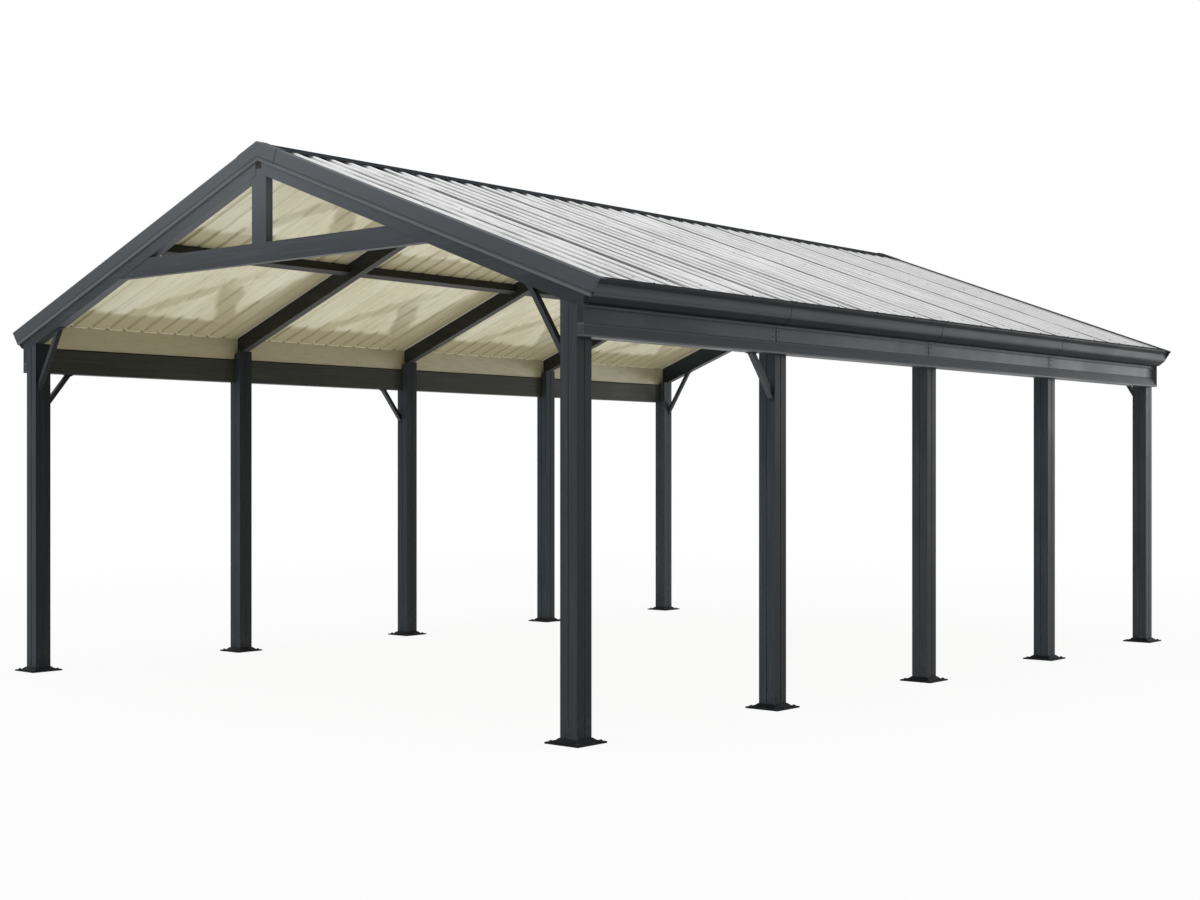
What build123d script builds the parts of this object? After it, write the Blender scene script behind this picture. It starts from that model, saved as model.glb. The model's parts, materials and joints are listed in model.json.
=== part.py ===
from build123d import *
from math import cos, radians, sin, tan
import os

# Open carport with a ribbed gable roof, millimetres, Z up.
# X runs across the gables, Y along the ridge, origin at the middle of the footprint on the floor.

# Overall plan
post_span = 5240.0
bay_length = 1840.0
bay_count = 4
roof_slope = 20.5

# Posts and base plates
post_size = 120.0
post_wall = 5.0
groove_width = 8.0
groove_depth = 2.5
plate_size = 240.0
plate_thickness = 10.0
collar_foot = 180.0
collar_top = 130.0
collar_height = 20.0
anchor_spacing = 190.0
anchor_radius = 7.0

# Moulded eave beams
beam_bottom = 2180.0
beam_height = 177.0
beam_toe = 46.0
beam_toe_lip = 8.0
beam_flare_height = 78.0
beam_web = 9.0
beam_lip = 18.0
beam_lip_height = 15.0
beam_wall = 3.0
seam_gap = 1.0
cap_thickness = 3.0

# Roof frame
eave_rise = 105.0
eave_overhang = 138.0
end_rafter_depth = 158.0
rafter_depth = 120.0
end_rafter_width = 60.0
rafter_web = 50.0
rafter_flange = 66.0
flange_thickness = 8.0
ridge_beam_width = 60.0
purlin_width = 50.0
purlin_depth = 70.0
purlin_flange = 64.0
wall_plate_width = 62.0
eave_board_thickness = 50.0
eave_board_gap = 8.0
tie_rise = 424.0
tie_depth = 125.0
tie_thickness = 54.0
king_post_width = 140.0

# Ribbed roof sheets
sheets_per_side = 8
ribs_per_sheet = 6
sheet_thickness = 2.0
rib_height = 16.0
rib_foot = 40.0
rib_crown = 22.0
lap_clearance = 0.5
lap_reveal = 1.5
edge_flat = 4.0
sheet_end_margin = 30.0
sheet_eave_margin = 15.0
sheet_ridge_gap = 8.0

# Folded trims
trim_thickness = 3.0
ridge_cap_wing = 145.0
ridge_cap_overrun = 5.0
eave_flange = 45.0
eave_nose_height = 10.0
eave_cove_depth = 26.0
eave_cove_height = 24.0
eave_belly_depth = 4.0
eave_belly_height = 48.0
eave_tuck_depth = 50.0
eave_gap = 4.0
rake_depth = 112.0
rake_stand_off = 15.0
rake_flange = 65.0
rake_bevel = 6.0
rake_overrun = 20.0
rake_end_skew = 15.0
apex_wing = 196.0
apex_depth = 97.0
apex_flange = 78.0

# Knee braces
brace_bar = 30.0
brace_width = 36.0
brace_plate = 6.0
brace_foot_length = 70.0
gable_brace_run = 250.0
gable_brace_drop = 395.0
side_brace_run = 205.0
side_brace_drop = 255.0

# Derived positions
slope = radians(roof_slope)
post_x = post_span / 2
post_inner = post_x - post_size / 2
post_outer = post_x + post_size / 2
post_rows = [bay_length * (i - bay_count / 2) for i in range(bay_count + 1)]
front_face = post_rows[0] - post_size / 2
roof_half = post_outer + eave_overhang
beam_top = beam_bottom + beam_height
beam_outer = post_outer + beam_toe
eave_plane = beam_top + eave_rise
ridge_plane = eave_plane + roof_half * tan(slope)
edge_run = roof_half / cos(slope)
lap_rise = sheet_thickness + lap_clearance
rib_top = rib_height + lap_rise + sheet_thickness
cap_level = rib_top + trim_thickness
rake_level = cap_level + trim_thickness
apex_level = rake_level + trim_thickness
rake_front = front_face - rake_stand_off
tie_bottom = beam_top + tie_rise
tie_top = tie_bottom + tie_depth


def roof_z(x, depth=0.0):
    """Height of the plane that lies `depth` below the sheet seats, at a distance x from the ridge."""
    return ridge_plane - abs(x) * tan(slope) - depth / cos(slope)


def roof_point(side, run, y, rise):
    """Point on a roof slope: run down the slope, y along the ridge, rise square to the slope."""
    x = side * (run * cos(slope) + rise * sin(slope))
    return (x, y, ridge_plane - run * sin(slope) + rise * cos(slope))


def inset(points, amount, closed=True):
    """Points of an outline moved to the right of its direction by an amount, with mitred corners."""
    moved = []
    count = len(points)
    for i, (px, py) in enumerate(points):
        before = (points[i - 1][0], points[i - 1][1])
        after = (points[(i + 1) % count][0], points[(i + 1) % count][1])
        if not closed and i == 0:
            before = (2 * px - after[0], 2 * py - after[1])
        if not closed and i == count - 1:
            after = (2 * px - before[0], 2 * py - before[1])
        ax, ay = px - before[0], py - before[1]
        bx, by = after[0] - px, after[1] - py
        al = (ax * ax + ay * ay) ** 0.5
        bl = (bx * bx + by * by) ** 0.5
        nx1, ny1 = ay / al, -ax / al
        nx2, ny2 = by / bl, -bx / bl
        scale = amount / (1 + nx1 * nx2 + ny1 * ny2)
        moved.append((px + (nx1 + nx2) * scale, py + (ny1 + ny2) * scale))
    return moved


def folded(points, thickness):
    """Closed outline of a folded sheet, its material to the right of the given path."""
    return points + inset(points, thickness, closed=False)[::-1]


def along_ridge(outline, start, end):
    """Bar with an (x, z) outline, run along the ridge from start to end."""
    face = Face(Wire.make_polygon([(x, start, z) for x, z in outline], close=True))
    return extrude(face, amount=end - start, dir=(0, 1, 0))


def slope_outline_bar(side, outline, start, end):
    """Bar with a (run, rise) outline on one roof slope, run along the ridge."""
    points = [roof_point(side, run, start, rise) for run, rise in outline]
    return extrude(Face(Wire.make_polygon(points, close=True)), amount=end - start, dir=(0, 1, 0))


def down_slope(side, outline, start, end):
    """Bar with a (y, rise) outline, run down one roof slope."""
    points = [roof_point(side, start, y, rise) for y, rise in outline]
    face = Face(Wire.make_polygon(points, close=True))
    return extrude(face, amount=end - start, dir=(side * cos(slope), 0, -sin(slope)))


def between_x(solid, low, high):
    """Part of a solid between two upright planes across the gable."""
    keep = Pos((low + high) / 2, 0, ridge_plane / 2) * Box(high - low, 4 * abs(front_face), 4 * ridge_plane)
    return solid & keep


def to_back(solid):
    """Twin of a front piece at the back gable."""
    return mirror(solid, about=Plane.XZ)


def to_side(solid, side):
    """Piece drawn for the right side, or its twin on the left."""
    return solid if side > 0 else mirror(solid, about=Plane.YZ)


def save(name, solids):
    """Write the pieces of one sub-part as a STEP file."""
    pieces = [piece for group in solids for piece in group.solids()]
    export_step(Compound(children=pieces) if len(pieces) > 1 else pieces[0], f"parts/{name}.step")


# Posts

def carried_depth(row):
    """Depth of the rafter that a row of posts carries."""
    return end_rafter_depth if row in (0, bay_count) else rafter_depth


def post_blank(row):
    """Solid outer shape of a right-hand post above its base plate, the top cut to the rafter."""
    depth = carried_depth(row)
    outline = [
        (post_inner, plate_thickness),
        (post_inner, roof_z(post_inner, depth)),
        (post_outer, roof_z(post_outer, depth)),
        (post_outer, plate_thickness),
    ]
    return along_ridge(outline, post_rows[row] - post_size / 2, post_rows[row] + post_size / 2)


def post(side, row):
    """Square tube post with a groove down each face, its top cut to the rafter it carries."""
    section = Rectangle(post_size, post_size)
    for turn in range(4):
        groove = Pos(post_size / 2, 0) * Rectangle(2 * groove_depth, groove_width)
        section -= Rot(0, 0, 90 * turn) * groove
    section -= Rectangle(post_size - 2 * post_wall, post_size - 2 * post_wall)
    height = roof_z(post_inner, carried_depth(row)) - plate_thickness
    tube = Pos(post_x, post_rows[row], plate_thickness) * extrude(section, amount=height)
    return to_side(tube & post_blank(row), side)


# Base plates

def base_plate(side, row):
    """Floor plate with a sloped collar round the post and four anchor holes."""
    plate = extrude(Rectangle(plate_size, plate_size), amount=plate_thickness)
    reach = anchor_spacing / 2
    for x in (-reach, reach):
        for y in (-reach, reach):
            plate -= Pos(x, y, plate_thickness / 2) * Cylinder(anchor_radius, 2 * plate_thickness)
    foot = Pos(0, 0, plate_thickness) * Rectangle(collar_foot, collar_foot)
    crown = Pos(0, 0, plate_thickness + collar_height) * Rectangle(collar_top, collar_top)
    collar = loft([foot.face(), crown.face()])
    collar -= Pos(0, 0, plate_thickness + collar_height / 2) * Box(post_size, post_size, collar_height)
    return Pos(side * post_x, post_rows[row], 0) * (plate + collar)


# Eave beams

def beam_outline():
    """Moulded beam section for the right side: flared lower band, set-back web and narrow top lip."""
    flare_top = beam_bottom + beam_flare_height
    lip_foot = beam_top - beam_lip_height
    return [
        (post_outer, beam_bottom),
        (post_outer, beam_top),
        (post_outer + beam_lip, beam_top),
        (post_outer + beam_lip, lip_foot),
        (post_outer + beam_web, lip_foot - (beam_lip - beam_web)),
        (post_outer + beam_web, flare_top),
        (beam_outer, beam_bottom + beam_toe_lip),
        (beam_outer, beam_bottom),
    ]


def beam_ends(bay):
    """Start and end of the beam length over one bay; joints line up with the front faces of posts."""
    start = front_face + cap_thickness if bay == 0 else post_rows[bay] - post_size / 2 + seam_gap
    last = -front_face - cap_thickness
    end = last if bay == bay_count - 1 else post_rows[bay + 1] - post_size / 2
    return start, end


def eave_beam(side, bay):
    """One hollow beam length on the outer faces of the posts."""
    start, end = beam_ends(bay)
    outline = beam_outline()
    shell = along_ridge(outline, start, end)
    shell -= along_ridge(inset(outline, beam_wall), start, end)
    return to_side(shell, side)


def beam_end_caps():
    """Plates that close the four open beam ends."""
    cap = along_ridge(
        [(post_outer, beam_bottom), (post_outer, beam_top), (beam_outer, beam_top), (beam_outer, beam_bottom)],
        front_face,
        front_face + cap_thickness,
    )
    return [to_side(piece, side) for side in (-1, 1) for piece in (cap, to_back(cap))]


# Rafters

def end_rafters():
    """Deep pair of gable rafters, flush with the front faces of the posts."""
    inner = front_face + end_rafter_width
    lip = rafter_flange - rafter_web
    outline = [
        (front_face, 0),
        (inner, 0),
        (inner, flange_thickness - end_rafter_depth),
        (inner + lip / 2, flange_thickness - end_rafter_depth),
        (inner + lip / 2, -end_rafter_depth),
        (front_face, -end_rafter_depth),
    ]
    return rafter_pair(outline)


def inner_rafters(row):
    """Pair of rafters over an inner row of posts, each with a wider lower flange."""
    y = post_rows[row]
    web, flange = rafter_web / 2, rafter_flange / 2
    outline = [
        (y - web, 0),
        (y + web, 0),
        (y + web, flange_thickness - rafter_depth),
        (y + flange, flange_thickness - rafter_depth),
        (y + flange, -rafter_depth),
        (y - flange, -rafter_depth),
        (y - flange, flange_thickness - rafter_depth),
        (y - web, flange_thickness - rafter_depth),
    ]
    return rafter_pair(outline)


def rafter_pair(outline):
    """Two mirrored rafters that butt on the ridge beam and end notched over the eave beams."""
    bar = down_slope(1, outline, -rafter_depth, edge_run + rafter_depth)
    bar = between_x(bar, ridge_beam_width / 2, beam_outer)
    ys = [y for y, rise in outline]
    notch = [(post_outer, 0), (post_outer, beam_top), (beam_outer, beam_top), (beam_outer, 0)]
    bar -= along_ridge(notch, min(ys), max(ys))
    return [to_side(bar, side) for side in (-1, 1)]


# Ridge beam

def ridge_beam():
    """Beam under the ridge with its top planed to both slopes."""
    half = ridge_beam_width / 2
    foot = roof_z(half, rafter_depth)
    outline = [(-half, foot), (-half, roof_z(half)), (0, ridge_plane), (half, roof_z(half)), (half, foot)]
    return along_ridge(outline, front_face, -front_face)


# Purlins

def bay_span(bay):
    """Clear length between the rafters of one bay."""
    start = front_face + end_rafter_width if bay == 0 else post_rows[bay] + rafter_web / 2
    end = -front_face - end_rafter_width if bay == bay_count - 1 else post_rows[bay + 1] - rafter_web / 2
    return start, end


def purlin(side, bay):
    """Mid-slope purlin between two rafters, with a wider lower flange."""
    start, end = bay_span(bay)
    middle = post_x / 2 / cos(slope)
    web, flange = purlin_width / 2, purlin_flange / 2
    outline = [
        (middle - web, 0),
        (middle + web, 0),
        (middle + web, flange_thickness - purlin_depth),
        (middle + flange, flange_thickness - purlin_depth),
        (middle + flange, -purlin_depth),
        (middle - flange, -purlin_depth),
        (middle - flange, flange_thickness - purlin_depth),
        (middle - web, flange_thickness - purlin_depth),
    ]
    return slope_outline_bar(side, outline, start, end)


def wall_plate(side, bay):
    """Plate between two posts behind the eave beam, with the beam's height."""
    inner = post_outer - wall_plate_width
    outline = [(inner, beam_bottom), (inner, beam_top), (post_outer, beam_top), (post_outer, beam_bottom)]
    half = post_size / 2
    return to_side(along_ridge(outline, post_rows[bay] + half, post_rows[bay + 1] - half), side)


def eave_board(side, bay):
    """Board between the rafters that closes the roof from the wall plate up to the sheets."""
    start, end = bay_span(bay)
    inner = post_outer - eave_board_thickness
    foot = beam_top + eave_board_gap
    outline = [(inner, foot), (post_outer, foot), (post_outer, roof_z(post_outer)), (inner, roof_z(inner))]
    board = along_ridge(outline, start, end)
    for row in (bay, bay + 1):
        board -= post_blank(row)
        for rafter in rafter_solids(row):
            board -= rafter
    return to_side(board, side)


def rafter_solids(row):
    """Rafters over one row of posts."""
    if row == 0:
        return end_rafters()
    if row == bay_count:
        return [to_back(rafter) for rafter in end_rafters()]
    return inner_rafters(row)


# Gable trusses

def tie_beams():
    """Front tie beam in two lengths between the gable rafters."""
    foot = (ridge_plane - end_rafter_depth / cos(slope) - tie_bottom) / tan(slope)
    head = (ridge_plane - end_rafter_depth / cos(slope) - tie_top) / tan(slope)
    joint = king_post_width / 2
    start = front_face + (end_rafter_width - tie_thickness) / 2
    end = start + tie_thickness
    left = [(-foot, tie_bottom), (-head, tie_top), (joint, tie_top), (joint, tie_bottom)]
    right = [(joint + seam_gap, tie_bottom), (joint + seam_gap, tie_top), (head, tie_top), (foot, tie_bottom)]
    return [along_ridge(left, start, end), along_ridge(right, start, end)]


def king_post():
    """Upright between the front tie beam and the ridge, its head notched round the rafters."""
    half = king_post_width / 2
    notch = ridge_beam_width / 2
    start = front_face + (end_rafter_width - tie_thickness) / 2
    shoulder = roof_z(notch, end_rafter_depth)
    head = roof_z(notch, rafter_depth)
    outline = [
        (-half, tie_top),
        (-half, roof_z(half, end_rafter_depth)),
        (-notch, shoulder),
        (-notch, head),
        (notch, head),
        (notch, shoulder),
        (half, roof_z(half, end_rafter_depth)),
        (half, tie_top),
    ]
    return along_ridge(outline, start, start + tie_thickness)


# Roof sheets

def rib_path(centre):
    """Underside path over one plain rib."""
    return [
        (centre - rib_foot / 2, 0),
        (centre - rib_crown / 2, rib_height),
        (centre + rib_crown / 2, rib_height),
        (centre + rib_foot / 2, 0),
    ]


def sheet_path(start, pitch, first, last):
    """Underside path across one ribbed sheet, with a lap rib over its neighbour at the start."""
    grade = (rib_foot - rib_crown) / 2 / rib_height
    shift = lap_rise * (1 + grade * grade) ** 0.5
    crown = rib_crown / 2
    high = rib_height + lap_rise
    if first:
        path = [(start - rib_foot / 2 - edge_flat, 0)] + rib_path(start)
    else:
        left_foot = start - rib_foot / 2 - shift
        path = [
            (left_foot + grade * high / 2, high / 2),
            (left_foot + grade * high, high),
            (start + crown, high),
            (start + crown + grade * high, 0),
        ]
    for rib in range(1, ribs_per_sheet):
        path += rib_path(start + rib * pitch)
    end = start + ribs_per_sheet * pitch
    if last:
        path += rib_path(end) + [(end + rib_foot / 2 + edge_flat, 0)]
    else:
        path += [(end - rib_foot / 2, 0), (end - crown, rib_height), (end + crown - lap_reveal, rib_height)]
    return path


def roof_sheets(side):
    """Ribbed sheets of one slope, each lapped over the one in front of it."""
    length = -2 * (front_face + sheet_end_margin)
    pitch = length / (sheets_per_side * ribs_per_sheet)
    sheets = []
    for index in range(sheets_per_side):
        start = -length / 2 + index * ribs_per_sheet * pitch
        path = sheet_path(start, pitch, index == 0, index == sheets_per_side - 1)
        outline = folded(path[::-1], sheet_thickness)
        sheets.append(down_slope(side, outline, sheet_ridge_gap, edge_run - sheet_eave_margin))
    return sheets


# Trims

def ridge_cap():
    """Folded cap over the upper ends of the sheets."""
    lower = [roof_point(side, ridge_cap_wing, 0, rise) for side, rise in ((-1, rib_top), (-1, cap_level))]
    right = [roof_point(side, ridge_cap_wing, 0, rise) for side, rise in ((1, cap_level), (1, rib_top))]
    outline = [(p[0], p[2]) for p in lower]
    outline += [(0, ridge_plane + cap_level / cos(slope))]
    outline += [(p[0], p[2]) for p in right]
    outline += [(0, ridge_plane + rib_top / cos(slope))]
    return along_ridge(outline, front_face - ridge_cap_overrun, ridge_cap_overrun - front_face)


def eave_trim_path():
    """Outer (x, z) path of the moulded eave trim: flange, nose, cove, belly, tuck and tail."""
    flange = roof_point(1, edge_run - eave_flange, 0, cap_level)
    nose = roof_point(1, edge_run + trim_thickness, 0, cap_level)
    foot = beam_top + eave_gap
    path = [(flange[0], flange[2]), (nose[0], nose[2])]
    x, z = nose[0], nose[2]
    for depth, height in (
        (0, eave_nose_height),
        (eave_cove_depth, eave_cove_height),
        (eave_belly_depth, eave_belly_height),
    ):
        x, z = x - depth, z - height
        path.append((x, z))
    return path + [(x - eave_tuck_depth, foot), (beam_outer, foot)]


def eave_trim_end():
    """Plate that closes the front end of an eave trim, from the rafter end to the trim's outer face."""
    path = eave_trim_path()
    outline = path[1:] + [(beam_outer, roof_z(beam_outer))]
    return along_ridge(outline, front_face, front_face + trim_thickness)


def eave_trim(side):
    """Moulded trim along one eave, in one length a bay, closed at both gables."""
    outline = folded(eave_trim_path(), trim_thickness)
    pieces = []
    for bay in range(bay_count):
        start = front_face if bay == 0 else post_rows[bay] - post_size / 2 + seam_gap
        end = -front_face if bay == bay_count - 1 else post_rows[bay + 1] - post_size / 2
        piece = along_ridge(outline, start, end)
        if bay == 0:
            piece += eave_trim_end()
        if bay == bay_count - 1:
            piece += to_back(eave_trim_end())
        pieces.append(to_side(piece, side))
    return pieces


def rake_trims():
    """Folded pair of trims up the front gable, cut aslant and closed at the lower ends."""
    foot = rake_level - rake_depth
    end = edge_run + rake_overrun
    skew = rake_depth * tan(radians(rake_end_skew))
    path = [
        (front_face - rake_stand_off + rake_flange, rake_level),
        (rake_front, rake_level),
        (rake_front, foot + rake_bevel),
        (rake_front + rake_bevel, foot),
        (front_face, foot),
    ]
    outline = folded(path[::-1], trim_thickness)
    bar = down_slope(1, outline, -rake_depth, end)
    bar = between_x(bar, seam_gap / 2, 2 * roof_half)
    beyond = [(end, rake_level), (end - skew, foot), (end + skew, foot), (end + skew, rake_level)]
    bar -= slope_outline_bar(1, beyond, rake_front, front_face + rake_flange)
    plate = [
        (end - trim_thickness, rake_level),
        (end, rake_level),
        (end - skew, foot),
        (end - skew - trim_thickness, foot),
    ]
    bar += slope_outline_bar(1, plate, rake_front + rake_bevel, front_face)
    return [to_side(bar, side) for side in (-1, 1)]


def apex_cover():
    """Folded chevron over the joint of the front rake trims."""
    def chevron(high, low, start, end):
        left = [roof_point(-1, apex_wing, 0, rise) for rise in (low, high)]
        right = [roof_point(1, apex_wing, 0, rise) for rise in (high, low)]
        outline = [(p[0], p[2]) for p in left]
        outline += [(0, ridge_plane + high / cos(slope))]
        outline += [(p[0], p[2]) for p in right]
        outline += [(0, ridge_plane + low / cos(slope))]
        return along_ridge(outline, start, end)

    face = chevron(apex_level, apex_level - apex_depth, rake_front - trim_thickness, rake_front)
    flange = chevron(apex_level, rake_level, rake_front, rake_front + apex_flange)
    return face + flange


# Knee braces

def knee_brace(run, drop, head_slope):
    """Brace with its foot plate on an upright at x = 0 and its head plate on a sloped seat above."""
    cs, sn = cos(head_slope), sin(head_slope)
    half = brace_foot_length / 2
    length = (run * run + drop * drop) ** 0.5
    foot = [(0, -half), (0, half), (-brace_plate, half), (-brace_plate, -half)]
    head = [
        (-run - half * cs, half * sn),
        (-run + half * cs, -half * sn),
        (-run + half * cs - brace_plate * sn, -half * sn - brace_plate * cs),
        (-run - half * cs - brace_plate * sn, half * sn - brace_plate * cs),
    ]
    head = [(x, z + drop) for x, z in head]
    bar = []
    for offset in (brace_bar / 2, -brace_bar / 2):
        ox, oz = offset * drop / length, offset * run / length
        low = (brace_plate / 2 + ox) / run
        reach = -brace_plate / 2 - ox * sn - oz * cs + (-run * sn + drop * cs)
        high = reach / (-run * sn + drop * cs)
        ends = [(ox - run * low, oz + drop * low), (ox - run * high, oz + drop * high)]
        bar += ends if offset > 0 else ends[::-1]
    shape = None
    for outline in (foot, head, bar):
        piece = along_ridge(outline, -brace_width / 2, brace_width / 2)
        shape = piece if shape is None else shape + piece
    return shape


def gable_braces():
    """Braces from the four corner posts up to the gable rafters."""
    head_x = post_inner - gable_brace_run
    foot_z = roof_z(head_x, end_rafter_depth) - gable_brace_drop
    y = front_face + (end_rafter_width + rafter_flange - rafter_web) / 2
    brace = Pos(post_inner, y, foot_z) * knee_brace(gable_brace_run, gable_brace_drop, slope)
    return [to_side(piece, side) for side in (-1, 1) for piece in (brace, to_back(brace))]


def side_brace(side, row, heading):
    """Brace from a post up to the wall plate, towards the back or the front."""
    y = post_rows[row] + heading * post_size / 2
    x = side * (post_outer - wall_plate_width / 2)
    foot_z = beam_bottom - side_brace_drop
    return Pos(x, y, foot_z) * Rot(0, 0, -90 * heading) * knee_brace(side_brace_run, side_brace_drop, 0)


def build():
    """Write every sub-part."""
    os.makedirs("parts", exist_ok=True)
    rows = range(bay_count + 1)
    bays = range(bay_count)
    for side, word in ((-1, "left"), (1, "right")):
        for row in rows:
            save(f"post_{word}_{row + 1}", [post(side, row)])
        for bay in bays:
            save(f"eave_beam_{word}_{bay + 1}", [eave_beam(side, bay)])
        save(f"base_plates_{word}", [base_plate(side, row) for row in rows])
        save(f"purlins_{word}", [purlin(side, bay) for bay in bays])
        save(f"wall_plates_{word}", [wall_plate(side, bay) for bay in bays])
        save(f"eave_boards_{word}", [eave_board(side, bay) for bay in bays])
        save(f"roof_sheets_{word}", roof_sheets(side))
        save(f"eave_trim_{word}", eave_trim(side))
    save("beam_end_caps", beam_end_caps())
    save("rafters_front", rafter_solids(0))
    for row in range(1, bay_count):
        save(f"rafters_{row + 1}", rafter_solids(row))
    save("rafters_back", rafter_solids(bay_count))
    save("ridge_beam", [ridge_beam()])
    save("ridge_cap", [ridge_cap()])
    save("tie_beams", tie_beams() + [to_back(piece) for piece in tie_beams()])
    save("king_posts", [king_post(), to_back(king_post())])
    save("rake_trims", rake_trims() + [to_back(piece) for piece in rake_trims()])
    save("apex_covers", [apex_cover(), to_back(apex_cover())])
    save("gable_braces", gable_braces())
    save("side_braces", [side_brace(-1, 0, 1), side_brace(-1, 2, -1), side_brace(1, 1, -1)])


build()
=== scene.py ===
"""Looks of an open carport: paint, roof sheets, fasteners, studio light and camera.

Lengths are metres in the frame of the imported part: +Z up, +Y along the ridge to the back gable and
+X across the gables to the right-hand eave.
"""
import json
import logging
import math
from dataclasses import dataclass
from enum import Enum

import bmesh
import bpy
from mathutils import Matrix, Vector


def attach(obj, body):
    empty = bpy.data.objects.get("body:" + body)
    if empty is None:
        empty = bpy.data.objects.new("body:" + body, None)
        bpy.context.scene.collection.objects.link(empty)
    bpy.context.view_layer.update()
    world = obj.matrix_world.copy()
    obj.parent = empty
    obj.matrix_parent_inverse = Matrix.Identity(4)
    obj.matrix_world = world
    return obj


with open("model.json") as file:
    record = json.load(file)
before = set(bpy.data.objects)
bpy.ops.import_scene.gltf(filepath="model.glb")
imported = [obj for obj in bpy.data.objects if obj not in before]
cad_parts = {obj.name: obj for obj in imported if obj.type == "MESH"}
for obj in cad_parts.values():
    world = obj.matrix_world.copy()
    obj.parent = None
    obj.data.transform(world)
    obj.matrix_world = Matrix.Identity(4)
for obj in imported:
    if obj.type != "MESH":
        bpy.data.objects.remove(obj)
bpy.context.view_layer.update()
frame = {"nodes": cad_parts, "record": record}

log = logging.getLogger("carport")

Point = tuple[float, float, float]
Pair = tuple[float, float]
Colour = tuple[float, float, float]

SLOPE = math.radians(20.5)
POST_X = 2.62
POST_HALF = 0.06
ROWS: tuple[float, ...] = (-3.68, -1.84, 0.0, 1.84, 3.68)
BAY = 1.84
ROOF_HALF = 2.818
EAVE_Z = 2.462
RIDGE_Z = EAVE_Z + ROOF_HALF * math.tan(SLOPE)
EDGE_RUN = ROOF_HALF / math.cos(SLOPE)
RIB_START = -3.71
RIB_PITCH = 7.42 / 48
RIB_COUNT = 49
LAP_EVERY = 6
RIB_TOP = 0.018
LAP_TOP = 0.0205
CAP_TOP = 0.0235
BEAM_BOTTOM = 2.18
BEAM_TOP = 2.357


class Side(Enum):
    """The two eaves of the roof."""

    LEFT = -1
    RIGHT = 1


class Slot(Enum):
    """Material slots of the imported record."""

    FRAME = "frame_paint"
    SHEET = "roof_sheet"
    LINING = "eave_lining"


class Grain(Enum):
    """Direction of the fine lines left by the coating on a bar."""

    UPRIGHT = (9.0, 9.0, 0.25)
    ALONG_RIDGE = (9.0, 0.25, 9.0)
    ACROSS = (0.35, 9.0, 9.0)


def on_slope(side: Side, run: float, y: float, rise: float) -> Vector:
    """Point on a roof slope.

    Args:
        side: The eave that the slope runs down to.
        run: Distance down the slope from the ridge line.
        y: Place along the ridge.
        rise: Height square to the slope above the sheet seats.

    Returns:
        The point in the frame of the part.
    """
    x = side.value * (run * math.cos(SLOPE) + rise * math.sin(SLOPE))
    return Vector((x, y, RIDGE_Z - run * math.sin(SLOPE) + rise * math.cos(SLOPE)))


def slope_normal(side: Side) -> Vector:
    """Outward direction square to a roof slope."""
    return Vector((side.value * math.sin(SLOPE), 0.0, math.cos(SLOPE)))


# Shader maths

class Value:
    """A shader socket that takes part in Python expressions."""

    def __init__(self, shader: "Shader", socket: bpy.types.NodeSocket) -> None:
        """Keep the shader and the output socket that carries the value."""
        self.shader = shader
        self.socket = socket

    def maths(self, operation: str, *operands: "Value | float") -> "Value":
        """Add one Math node.

        Args:
            operation: Name of the operation.
            operands: Its inputs in order.

        Returns:
            The result as a value.
        """
        return self.shader.add("ShaderNodeMath", {"operation": operation}, dict(enumerate(operands)))

    def __add__(self, other: "Value | float") -> "Value":
        """Sum."""
        return self.maths("ADD", self, other)

    __radd__ = __add__

    def __sub__(self, other: "Value | float") -> "Value":
        """Difference."""
        return self.maths("SUBTRACT", self, other)

    def __rsub__(self, other: float) -> "Value":
        """Difference from a number."""
        return self.maths("SUBTRACT", other, self)

    def __mul__(self, other: "Value | float") -> "Value":
        """Product."""
        return self.maths("MULTIPLY", self, other)

    __rmul__ = __mul__

    def __truediv__(self, other: "Value | float") -> "Value":
        """Quotient."""
        return self.maths("DIVIDE", self, other)

    def __rtruediv__(self, other: float) -> "Value":
        """Quotient of a number."""
        return self.maths("DIVIDE", other, self)

    def __mod__(self, other: "Value | float") -> "Value":
        """Remainder that stays positive."""
        return self.maths("FLOORED_MODULO", self, other)

    def __gt__(self, other: "Value | float") -> "Value":
        """One where this is the greater."""
        return self.maths("GREATER_THAN", self, other)

    def __lt__(self, other: "Value | float") -> "Value":
        """One where this is the smaller."""
        return self.maths("LESS_THAN", self, other)

    def __abs__(self) -> "Value":
        """Absolute value."""
        return self.maths("ABSOLUTE", self)

    def floor(self) -> "Value":
        """Whole part."""
        return self.maths("FLOOR", self)

    def most(self, other: "Value | float") -> "Value":
        """The greater of two values."""
        return self.maths("MAXIMUM", self, other)

    def ramp(self, low: float, high: float, start: float = 0.0, end: float = 1.0) -> "Value":
        """Smooth step.

        Args:
            low: Input at which the output is start.
            high: Input at which the output is end.
            start: First output.
            end: Last output.

        Returns:
            The smoothed value.
        """
        inputs = {"Value": self, "From Min": low, "From Max": high, "To Min": start, "To Max": end}
        return self.shader.add("ShaderNodeMapRange", {"interpolation_type": "SMOOTHSTEP"}, inputs)

    def near(self, place: float, reach: float) -> "Value":
        """Soft band: one at a place, nought beyond its reach."""
        return abs(self - place).ramp(0.0, reach, 1.0, 0.0)


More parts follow.
